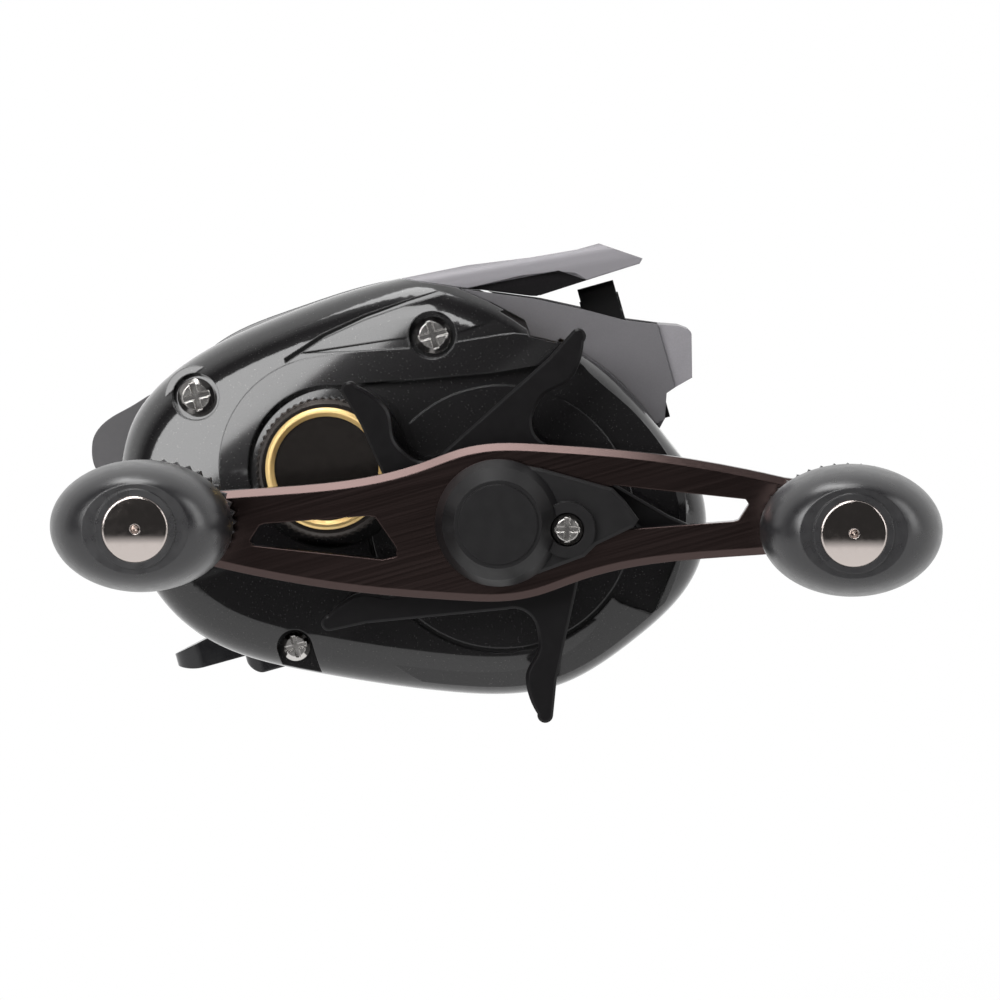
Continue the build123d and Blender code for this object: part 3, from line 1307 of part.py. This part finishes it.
def build_parts():
    save(build_frame(), "frame")
    save(build_foot(), "reel_foot")
    save(build_foot_screws(), "foot_screws")
    save(build_cover(), "handle_side_cover")
    save(build_cover_screws(), "cover_screws")
    save(build_hood(), "front_hood")
    save(build_front_cover(), "front_nose_cover")
    save(build_thumb_bar(), "thumb_bar")
    save(build_clutch_plate(), "clutch_plate")
    save(build_kick_lever(), "kick_lever")
    save(build_yoke(), "clutch_yoke")
    save(build_yoke_posts(), "yoke_posts")
    save(build_yoke_springs(), "yoke_springs")
    save(build_spool(), "spool")
    save(build_spool_shaft(), "spool_shaft")
    save(build_clutch_pin(), "clutch_pin")
    save(build_brake_hub(), "brake_weight_holder")
    save(build_brake_weights(), "brake_weights")
    save(bearing(spool_x, spool_z, palm_bearing_end(), palm_bearing_start(), spool_bearing_r, shaft_r + slip),
         "spool_bearing_palm")
    save(bearing(spool_x, spool_z, cast_bearing_start, cast_bearing_end, spool_bearing_r, shaft_r + slip),
         "spool_bearing_handle")
    save(build_palm_cover(), "palm_side_cover")
    save(build_brake_pipe(), "brake_pipe")
    save(build_brake_dial(), "brake_dial")
    save(build_release_lever(), "side_plate_lever")
    save(build_pinion(), "pinion")
    save(bearing(spool_x, spool_z, pinion_bearing_start, pinion_bearing_end, pinion_bearing_r,
                 pinion_journal_r + slip), "pinion_bearing")
    save(build_main_gear(), "main_gear")
    save(build_drive_shaft(), "drive_shaft")
    save(bearing(drive_x, drive_z, plate_out + 2.4, plate_out, drive_bearing_r, drive_tail_r + slip),
         "drive_shaft_bearing")
    save(build_ratchet(), "ratchet_wheel")
    save(build_wind_gear(), "level_wind_drive_gear")
    save(build_idler(), "idler_gear")
    save(build_worm_gear(), "worm_gear")
    save(build_worm_shaft(), "worm_shaft")
    save(build_worm_guard(), "worm_guard")
    save(build_guide_bar(), "guide_bar")
    save(build_line_guide(), "line_guide")
    save(build_line_ring(), "line_guide_ring")
    save(build_pawl(), "pawl")
    save(build_pawl_cap(), "pawl_cap")
    save(build_drag_washer(), "drag_washer")
    save(build_key_washer(), "key_washer")
    save(build_drag_tube(), "drag_tube")
    save(build_one_way(), "one_way_bearing")
    save(build_drag_springs(), "drag_spring_washers")
    save(build_star(), "star_drag")
    save(build_star_nut(), "star_nut")
    save(build_handle_arm(), "handle_arm")
    save(build_handle_nut(), "handle_nut")
    save(build_retainer(), "nut_retainer")
    save(build_retainer_screw(), "retainer_screw")
    save(build_cast_cap(), "cast_control_cap")
    save(build_gold_ring(), "cast_control_ring")
    bushes = []
    pins = []
    screws = []
    for name, place in knob_places().items():
        save(place * build_knob_body(), name + "_knob")
        save(place * build_knob_cap(), name + "_knob_cap")
        bushes += [place * bush for bush in build_knob_bushes()]
        pins.append(place * build_knob_pin())
        screws.append(place * build_knob_screw())
    save(Compound(children=bushes), "knob_bushes")
    save(Compound(children=pins), "knob_pins")
    save(Compound(children=screws), "knob_screws")


build_parts()
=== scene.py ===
"""Looks, room and camera for a baitcasting reel, in metres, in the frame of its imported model."""
import json
import math

import bpy
from mathutils import Matrix, Quaternion, Vector


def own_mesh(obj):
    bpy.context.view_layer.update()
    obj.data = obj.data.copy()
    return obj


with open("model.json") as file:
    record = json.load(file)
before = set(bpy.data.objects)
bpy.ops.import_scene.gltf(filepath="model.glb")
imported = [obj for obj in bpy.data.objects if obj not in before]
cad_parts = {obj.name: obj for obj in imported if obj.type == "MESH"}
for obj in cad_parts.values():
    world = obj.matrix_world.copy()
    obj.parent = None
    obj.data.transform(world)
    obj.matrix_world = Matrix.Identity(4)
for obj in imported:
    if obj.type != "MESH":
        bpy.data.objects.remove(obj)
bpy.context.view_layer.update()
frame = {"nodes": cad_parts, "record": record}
nodes = frame["nodes"]

# ---------------------------------------------------------------- camera
CAMERA_AT = Vector((0.040735, -0.761171, 0.040462))
CAMERA_RIGHT = Vector((0.963108, 0.023625, -0.268076))
CAMERA_UP = Vector((0.267093, 0.037969, 0.962922))
CAMERA_BACK = Vector((0.032928, -0.999000, 0.030258))
LENS_MM = 213.12
SENSOR_MM = 36.0
NEAREST = 0.01
FARTHEST = 50.0


def place_camera():
    data = bpy.data.cameras.new("camera")
    data.lens = LENS_MM
    data.sensor_width = SENSOR_MM
    data.clip_start = NEAREST
    data.clip_end = FARTHEST
    camera = bpy.data.objects.new("camera", data)
    bpy.context.scene.collection.objects.link(camera)
    turn = Matrix((CAMERA_RIGHT, CAMERA_UP, CAMERA_BACK)).transposed()
    camera.matrix_world = Matrix.Translation(CAMERA_AT) @ turn.to_4x4()
    bpy.context.scene.camera = camera


place_camera()


# ---------------------------------------------------------------- node tools
class Graph:
    """Short calls that build up a node tree."""

    def __init__(self, tree):
        self.tree = tree

    def node(self, kind, **values):
        made = self.tree.nodes.new(kind)
        for key, value in values.items():
            setattr(made, key, value)
        return made

    def link(self, source, target):
        self.tree.links.new(source, target)

    def math(self, operation, first, second):
        made = self.node("ShaderNodeMath", operation=operation)
        for socket, value in zip(made.inputs, (first, second)):
            if isinstance(value, float):
                socket.default_value = value
            else:
                self.link(value, socket)
        return made.outputs[0]

    def line(self, run, slope, start):
        """Height at run of a straight line that is at start where run is 0."""
        return self.math("ADD", self.math("MULTIPLY", run, slope), start)

    def remap(self, source, low, high, out_low, out_high):
        """From out_low to out_high as the source goes from low to high."""
        span = self.node("ShaderNodeMapRange")
        span.inputs["From Min"].default_value = low
        span.inputs["From Max"].default_value = high
        span.inputs["To Min"].default_value = out_low
        span.inputs["To Max"].default_value = out_high
        self.link(source, span.inputs["Value"])
        return span.outputs["Result"]

    def rays(self, *kinds):
        """1 for rays of these kinds."""
        path = self.node("ShaderNodeLightPath")
        total = path.outputs[kinds[0]]
        for kind in kinds[1:]:
            total = self.math("MAXIMUM", total, path.outputs[kind])
        return total


# ---------------------------------------------------------------- material tools
EDGE_RADIUS = 0.00018
EDGE_SAMPLES = 4
COAT_ROUGH = 0.08
COLOUR_A = 6  # sockets of a Mix node that mixes colours
COLOUR_B = 7
COLOUR_RESULT = 2
NOISE_SPAN = (0.35, 0.65)  # where most of a noise's values lie
STREAK_SPAN = (0.3, 0.7)


class Shader(Graph):
    """A node material built step by step round one Principled shader."""

    def __init__(self, name, base, metallic=0.0, rough=0.5, coat=0.0, spec=0.5):
        self.mat = bpy.data.materials.new(name)
        self.mat.use_nodes = True
        super().__init__(self.mat.node_tree)
        self.bsdf = self.tree.nodes["Principled BSDF"]
        self.set("Base Color", (*base, 1.0))
        self.set("Metallic", metallic)
        self.set("Roughness", rough)
        self.set("Specular IOR Level", spec)
        self.set("Coat Weight", coat)
        self.set("Coat Roughness", COAT_ROUGH)
        self.mat.diffuse_color = (*base, 1.0)
        self.coord = self.node("ShaderNodeTexCoord")
        soft = self.node("ShaderNodeBevel", samples=EDGE_SAMPLES)
        soft.inputs["Radius"].default_value = EDGE_RADIUS
        self.soft_edge = soft.outputs["Normal"]
        self.link(self.soft_edge, self.bsdf.inputs["Normal"])
        self.link(self.soft_edge, self.bsdf.inputs["Coat Normal"])

    def set(self, socket, value):
        self.bsdf.inputs[socket].default_value = value

    def split(self, space):
        """X, Y and Z of a space: Object is metres in the reel's frame, Generated fills the piece's box."""
        parts = self.node("ShaderNodeSeparateXYZ")
        self.link(self.coord.outputs[space], parts.inputs[0])
        return parts.outputs

    def noise(self, scale, detail=3.0, rough=0.5):
        tex = self.node("ShaderNodeTexNoise")
        tex.inputs["Scale"].default_value = scale
        tex.inputs["Detail"].default_value = detail
        tex.inputs["Roughness"].default_value = rough
        self.link(self.coord.outputs["Object"], tex.inputs["Vector"])
        return tex.outputs["Fac"]

    def streaks(self, turn_deg, along, across):
        """Noise drawn out along a direction in the XZ plane."""
        lay = self.node("ShaderNodeMapping")
        lay.inputs["Rotation"].default_value = (0, math.radians(turn_deg), 0)
        lay.inputs["Scale"].default_value = (along, across, across)
        self.link(self.coord.outputs["Object"], lay.inputs["Vector"])
        tex = self.node("ShaderNodeTexNoise")
        tex.inputs["Scale"].default_value = 1.0
        tex.inputs["Detail"].default_value = 3.0
        self.link(lay.outputs["Vector"], tex.inputs["Vector"])
        return tex.outputs["Fac"]

    def mix(self, factor, first, second):
        blend = self.node("ShaderNodeMix", data_type="RGBA")
        for socket, value in ((COLOUR_A, first), (COLOUR_B, second)):
            blend.inputs[socket].default_value = (*value, 1.0)
        self.link(factor, blend.inputs["Factor"])
        return blend.outputs[COLOUR_RESULT]

    def colour(self, source):
        self.link(source, self.bsdf.inputs["Base Color"])

    def rough_by(self, source, span, first, last):
        """Roughness from first to last as the source crosses its span."""
        self.link(self.remap(source, *span, first, last), self.bsdf.inputs["Roughness"])

    def rough_between(self, smoothest, roughest, scale):
        self.rough_by(self.noise(scale), NOISE_SPAN, smoothest, roughest)

    def raised(self, height, strength, distance):
        """Normal of the softened surface with a height laid on it."""
        made = self.node("ShaderNodeBump")
        made.inputs["Strength"].default_value = strength
        made.inputs["Distance"].default_value = distance
        self.link(self.soft_edge, made.inputs["Normal"])
        self.link(height, made.inputs["Height"])
        return made.outputs["Normal"]

    def bump(self, height, strength, distance):
        self.link(self.raised(height, strength, distance), self.bsdf.inputs["Normal"])

    def tilt(self, height):
        """Lean the shading of a face, on base and clear coat, by a height in metres."""
        normal = self.raised(height, 1.0, 1.0)
        self.link(normal, self.bsdf.inputs["Normal"])
        self.link(normal, self.bsdf.inputs["Coat Normal"])

    def fall_away(self, x, z, heading, radius):
        """Height of a flat face that starts to curve away past x, z towards a heading in XZ."""
        at = self.split("Object")
        across = self.math("MULTIPLY", self.math("SUBTRACT", at["X"], x), heading[0])
        up = self.math("MULTIPLY", self.math("SUBTRACT", at["Z"], z), heading[1])
        past = self.math("MAXIMUM", self.math("ADD", across, up), 0.0)
        return self.math("MULTIPLY", self.math("MULTIPLY", past, past), -0.5 / radius)

    def crown(self, size, radius):
        """Height of a slightly domed round face that fills its piece's own box."""
        at = self.split("Generated")
        across = self.math("SUBTRACT", at["X"], 0.5)
        up = self.math("SUBTRACT", at["Z"], 0.5)
        square = self.math("ADD", self.math("MULTIPLY", across, across), self.math("MULTIPLY", up, up))
        return self.math("MULTIPLY", square, -0.5 * size * size / radius)


# ---------------------------------------------------------------- materials
PAINT_BLACK = (0.006, 0.0055, 0.006)
FLAKE = (0.085, 0.082, 0.078)
FLAKES_PER_METRE = 7500.0
FLAKE_DRAW = (0.95, 0.985)  # of the draws from 0 to 1, those past this span show a flake
FLAKE_EDGE = (0.25, 0.45)  # how far from its middle a flake fades, as a share of the cell
COVER_COAT_IOR = 1.56
HOOD_GREY = (0.24, 0.231, 0.246)
HOOD_BLACK = (0.012, 0.011, 0.012)
HOOD_TOP = (-0.08, 0.0463)  # slope and start of the lines in XZ under which the hood is black
HOOD_FRONT = (-0.68, 0.0649)
HOOD_FADE = (0.0, 0.0001)
SATIN_LIGHTER = 1.25
MOULDED_DARKER = 0.85
MOULDED_WEAR = 0.03
CAP_WIDTH = 0.0078
CAP_CROWN_RADIUS = 0.035
ARM_BROWN = (0.070, 0.049, 0.046)
ARM_DARKER = (0.066, 0.046, 0.043)
ARM_LIGHTER = (0.074, 0.052, 0.049)
ARM_SLANT_DEG = -15.85


def cover_paint():
    """Gloss black paint with sparse fine metal flakes under a clear coat."""
    s = Shader("cover_gloss", PAINT_BLACK, rough=0.34, coat=1.0, spec=0.12)
    s.set("Coat IOR", COVER_COAT_IOR)
    grain = s.node("ShaderNodeTexVoronoi")
    grain.inputs["Scale"].default_value = FLAKES_PER_METRE
    s.link(s.coord.outputs["Object"], grain.inputs["Vector"])
    draw = s.node("ShaderNodeSeparateColor")
    s.link(grain.outputs["Color"], draw.inputs["Color"])
    chosen = s.remap(draw.outputs["Red"], *FLAKE_DRAW, 0.0, 1.0)
    spot = s.remap(grain.outputs["Distance"], *FLAKE_EDGE, 1.0, 0.0)
    flake = s.math("MULTIPLY", chosen, spot)
    s.colour(s.mix(flake, PAINT_BLACK, FLAKE))
    s.link(flake, s.bsdf.inputs["Metallic"])
    s.tilt(s.fall_away(x=0.0108, z=0.0291, heading=(-0.39, 0.92), radius=0.091))
    return s.mat


def satin_paint(name, base, low=0.38, high=0.48, metallic=0.25, spec=0.5):
    """Fine satin lacquer over metal or plastic."""
    s = Shader(name, base, metallic=metallic, spec=spec)
    s.rough_between(low, high, scale=900.0)
    lighter = tuple(part * SATIN_LIGHTER for part in base)
    s.colour(s.mix(s.noise(scale=5200.0, detail=2.0), base, lighter))
    s.bump(s.noise(scale=9000.0, detail=2.0), strength=0.06, distance=0.00002)
    return s.mat


def moulded(name, base, rough=0.5, grain=6500.0, depth=0.12, spec=0.45):
    """Moulded plastic or rubber with a fine eroded skin."""
    s = Shader(name, base, spec=spec)
    s.rough_between(rough - MOULDED_WEAR, rough + MOULDED_WEAR, scale=700.0)
    s.bump(s.noise(grain, detail=4.0, rough=0.6), strength=depth, distance=0.00003)
    darker = tuple(part * MOULDED_DARKER for part in base)
    s.colour(s.mix(s.noise(scale=1500.0), base, darker))
    return s.mat


def metal(name, base, rough=0.25, wear=0.06):
    """Bare or plated metal with fine variation of its polish."""
    s = Shader(name, base, metallic=1.0)
    s.rough_between(rough - wear, rough + wear, scale=1200.0)
    s.bump(s.noise(scale=7200.0), strength=0.03, distance=0.00001)
    return s.mat


def hood_paint():
    """Satin grey hood whose hollow sides and underside are gloss black."""
    s = Shader("hood_paint", HOOD_GREY, metallic=0.25)
    at = s.split("Object")
    edge = s.math("MINIMUM", s.line(at["X"], *HOOD_TOP), s.line(at["X"], *HOOD_FRONT))
    below = s.remap(s.math("SUBTRACT", edge, at["Z"]), *HOOD_FADE, 0.0, 1.0)
    s.colour(s.mix(below, HOOD_GREY, HOOD_BLACK))
    s.rough_by(below, (0.0, 1.0), 0.42, 0.22)
    s.bump(s.noise(scale=9000.0, detail=2.0), strength=0.06, distance=0.00002)
    return s.mat


def chrome_cap():
    """Polished cap with a slight dome."""
    s = Shader("knob_chrome", (0.58, 0.52, 0.49), metallic=1.0)
    s.rough_between(0.05, 0.09, scale=1500.0)
    s.tilt(s.crown(CAP_WIDTH, CAP_CROWN_RADIUS))
    return s.mat


def anodised_arm():
    """Brown-black anodised alloy with fine streaks along the arm."""
    s = Shader("arm_anodised", ARM_BROWN, metallic=1.0)
    grain = s.streaks(ARM_SLANT_DEG, along=40.0, across=4200.0)
    s.rough_by(grain, STREAK_SPAN, 0.16, 0.22)
    shade = s.remap(grain, *STREAK_SPAN, 0.0, 1.0)
    s.colour(s.mix(shade, ARM_DARKER, ARM_LIGHTER))
    s.bump(grain, strength=0.012, distance=0.00001)
    return s.mat


def woven_disc():
    """Dark fibre washer with a ribbed weave."""
    s = Shader("drag_fibre", (0.03, 0.03, 0.03), rough=0.6)
    wave = s.node("ShaderNodeTexWave")
    wave.inputs["Scale"].default_value = 900.0
    s.link(s.coord.outputs["Object"], wave.inputs["Vector"])
    s.bump(wave.outputs["Fac"], strength=0.3, distance=0.00005)
    return s.mat


SATINS = {
    "frame_paint": {"base": (0.115, 0.111, 0.118)},
    "foot_paint": {"base": (0.008, 0.008, 0.009), "low": 0.12, "high": 0.2, "metallic": 0.0},
    "satin_grey": {"base": (0.22, 0.212, 0.226)},
    "black_alloy": {"base": (0.004, 0.0036, 0.004), "low": 0.28, "high": 0.32, "metallic": 0.0, "spec": 0.16},
}
METALS = {
    "dark_steel": {"base": (0.28, 0.27, 0.265), "rough": 0.14, "wear": 0.03},
    "bright_steel": {"base": (0.62, 0.60, 0.58), "rough": 0.18, "wear": 0.03},
    "steel": {"base": (0.5, 0.5, 0.51), "rough": 0.3},
    "spring_steel": {"base": (0.45, 0.45, 0.46), "rough": 0.28},
    "spool_alloy": {"base": (0.24, 0.24, 0.25), "rough": 0.3},
    "brass_gear": {"base": (0.70, 0.52, 0.24), "rough": 0.3},
    "gold_alloy": {"base": (0.98, 0.72, 0.33), "rough": 0.50},
    "cast_grey": {"base": (0.062, 0.055, 0.051), "rough": 0.22, "wear": 0.01},
}
MOULDINGS = {
    "acetal_white": {"base": (0.75, 0.75, 0.72), "rough": 0.4},
    "acetal_dark": {"base": (0.03, 0.028, 0.028), "rough": 0.42},
    "black_plastic": {"base": PAINT_BLACK, "rough": 0.40, "depth": 0.1, "spec": 0.22},
    "knob_grip": {"base": (0.011, 0.0105, 0.012), "rough": 0.30, "grain": 5200.0, "depth": 0.05, "spec": 0.8},
    "guide_ceramic": {"base": (0.02, 0.02, 0.022), "rough": 0.15, "grain": 3000.0, "depth": 0.02},
    "bush_plastic": {"base": (0.12, 0.12, 0.12), "rough": 0.45},
    "thumb_pad": {"base": (0.085, 0.082, 0.086), "rough": 0.45, "grain": 5200.0, "depth": 0.1},
}
LOOKS = {
    "cover_gloss": cover_paint(),
    "hood_paint": hood_paint(),
    "knob_chrome": chrome_cap(),
    "arm_anodised": anodised_arm(),
    "drag_fibre": woven_disc(),
}
for make, table in ((satin_paint, SATINS), (metal, METALS), (moulded, MOULDINGS)):
    for look, values in table.items():
        LOOKS[look] = make(look, **values)

OWN_LOOKS = {"front_hood": "hood_paint", "thumb_bar": "thumb_pad"}  # nodes that don't follow their slot
SMOOTH_ANGLE = math.radians(32)

slot_of = {row["node"]: row["material_slot"] for row in frame["record"]["subparts"]}
for name, obj in nodes.items():
    mesh = obj.data
    mesh.materials.clear()
    mesh.materials.append(LOOKS[OWN_LOOKS.get(name, slot_of[name])])
    mesh.shade_smooth()
    mesh.set_sharp_from_angle(angle=SMOOTH_ANGLE)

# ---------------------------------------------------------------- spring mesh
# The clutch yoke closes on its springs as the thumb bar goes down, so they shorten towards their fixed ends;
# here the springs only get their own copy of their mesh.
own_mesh(nodes["yoke_springs"])

# ---------------------------------------------------------------- room
STAGE_SIZE = 1.8
FLOOR_Z = -0.16
STAGE_WHITE = 0.92
STAGE_ROUGH = 0.9
STAGE_FADE = (0.2, 0.9)  # distances from the floor's middle over which it turns plain white
ROOM_DARK = 0.04
ROOM_SIDES = (  # a heading, and the cosines to it where the room is dark and where it is white
    ((0, 1, 0), -0.35, 0.15),
    ((-0.267, -0.038, -0.963), 0.12, 0.18),
)


def stage_look():
    """White floor that the camera sees as plain white, with the object's shadow on it near the object."""
    mat = bpy.data.materials.new("stage_white")
    mat.use_nodes = True
    graph = Graph(mat.node_tree)
    bsdf = graph.tree.nodes["Principled BSDF"]
    bsdf.inputs["Base Color"].default_value = (STAGE_WHITE, STAGE_WHITE, STAGE_WHITE, 1.0)
    bsdf.inputs["Roughness"].default_value = STAGE_ROUGH
    glow = graph.node("ShaderNodeEmission")
    glow.inputs["Color"].default_value = (1, 1, 1, 1)
    reach = graph.node("ShaderNodeVectorMath", operation="LENGTH")
    place = graph.node("ShaderNodeTexCoord")
    graph.link(place.outputs["Object"], reach.inputs[0])
    fade = graph.remap(reach.outputs["Value"], *STAGE_FADE, STAGE_WHITE, 1.0)
    seen = graph.rays("Is Camera Ray", "Is Glossy Ray", "Is Transmission Ray")
    either = graph.node("ShaderNodeMixShader")
    graph.link(graph.math("MULTIPLY", seen, fade), either.inputs[0])
    graph.link(bsdf.outputs[0], either.inputs[1])
    graph.link(glow.outputs[0], either.inputs[2])
    graph.link(either.outputs[0], graph.tree.nodes["Material Output"].inputs["Surface"])
    return mat


def lay_floor():
    half = STAGE_SIZE / 2
    mesh = bpy.data.meshes.new("floor")
    corners = [(-half, -half, 0), (half, -half, 0), (half, half, 0), (-half, half, 0)]
    mesh.from_pydata(corners, [], [(0, 1, 2, 3)])
    mesh.materials.append(stage_look())
    floor = bpy.data.objects.new("floor", mesh)
    bpy.context.scene.collection.objects.link(floor)
    floor.location = (0, 0, FLOOR_Z)


def light_room():
    """White sweep behind and below, darker room above in front; the camera sees plain white."""
    world = bpy.data.worlds.new("world")
    world.use_nodes = True
    graph = Graph(world.node_tree)
    back = graph.tree.nodes["Background"]
    back.inputs["Color"].default_value = (1, 1, 1, 1)
    place = graph.node("ShaderNodeTexCoord")
    level = graph.rays("Is Camera Ray")
    for heading, dark_end, white_end in ROOM_SIDES:
        dot = graph.node("ShaderNodeVectorMath", operation="DOT_PRODUCT")
        dot.inputs[1].default_value = heading
        graph.link(place.outputs["Generated"], dot.inputs[0])
        side = graph.remap(dot.outputs["Value"], dark_end, white_end, ROOM_DARK, 1.0)
        level = graph.math("MAXIMUM", level, side)
    graph.link(level, back.inputs["Strength"])
    bpy.context.scene.world = world


def softbox(name, at, aim, wide, high, power, roll=0):
    lamp = bpy.data.lights.new(name, "AREA")
    lamp.shape = "RECTANGLE"
    lamp.size = wide
    lamp.size_y = high
    lamp.energy = power
    obj = bpy.data.objects.new(name, lamp)
    bpy.context.scene.collection.objects.link(obj)
    obj.location = at
    facing = (Vector(aim) - Vector(at)).to_track_quat("-Z", "Y")
    obj.rotation_euler = (facing @ Quaternion((0, 0, 1), math.radians(roll))).to_euler()


lay_floor()
light_room()
softbox("key", at=(-0.25, -0.86, 0.46), aim=(0.0, -0.02, 0.02), wide=0.8, high=0.5, power=8.6, roll=23)
softbox("top", at=(0.09, -0.08, 0.8), aim=(0.0, -0.02, 0.02), wide=0.30, high=0.45, power=2.6)
softbox("right", at=(0.80, -0.42, 0.12), aim=(0.02, -0.02, 0.02), wide=0.3, high=0.7, power=2.2)
bpy.context.scene.view_settings.view_transform = "Standard"
